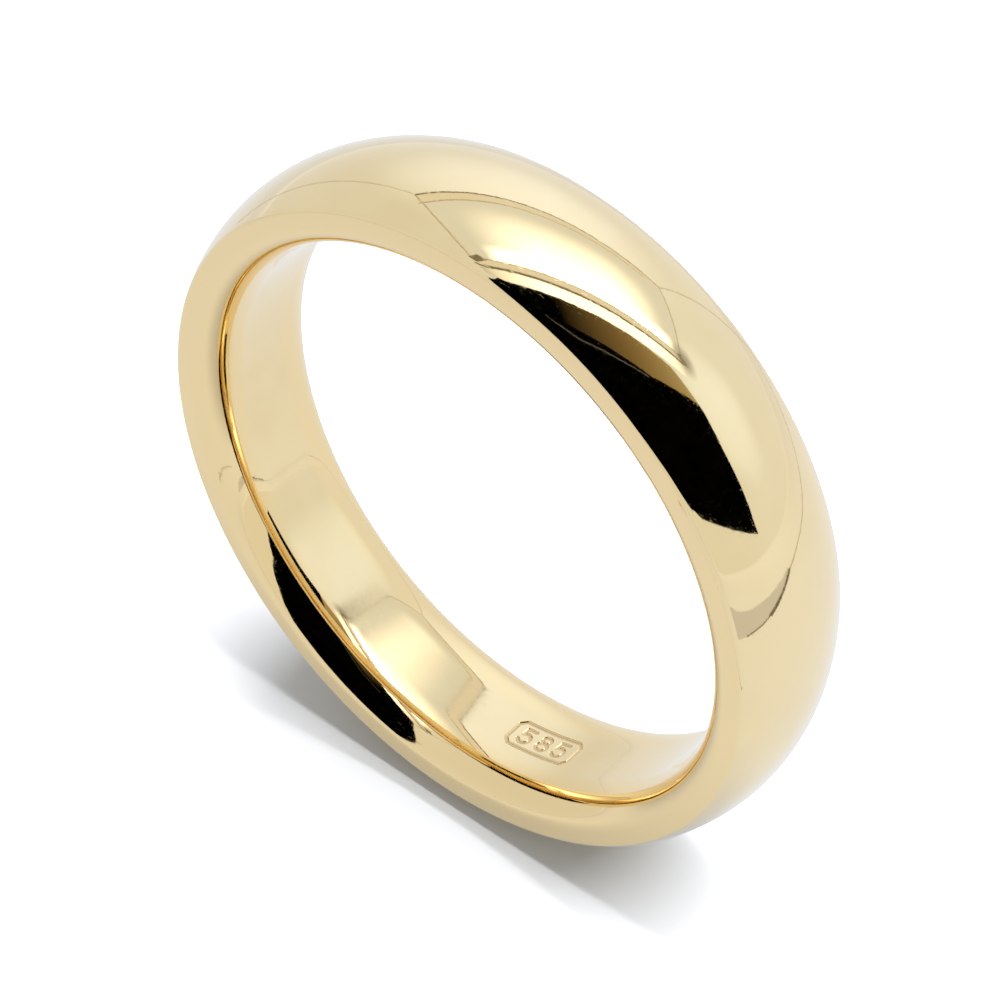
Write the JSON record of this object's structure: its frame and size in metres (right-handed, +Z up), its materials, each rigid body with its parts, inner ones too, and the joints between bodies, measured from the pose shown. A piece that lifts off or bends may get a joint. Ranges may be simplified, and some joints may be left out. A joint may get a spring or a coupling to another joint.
{
  "type": "wedding band",
  "caption": "Plain polished gold finger ring with a domed outside, flat side faces and an eased comfort-fit bore.",
  "frame": {"origin": "centre of the bore, on the finger axis, midway between the side faces", "axes": "+Y along the finger axis, +Z up through the crown of the ring as it stands on its rim, +X across the ring"},
  "size_m": [0.0242, 0.005, 0.0242],
  "materials": {
    "gold": "mirror-polished yellow gold"
  },
  "bodies": {
    "root": {"band": "gold"}
  },
  "joints": []
}
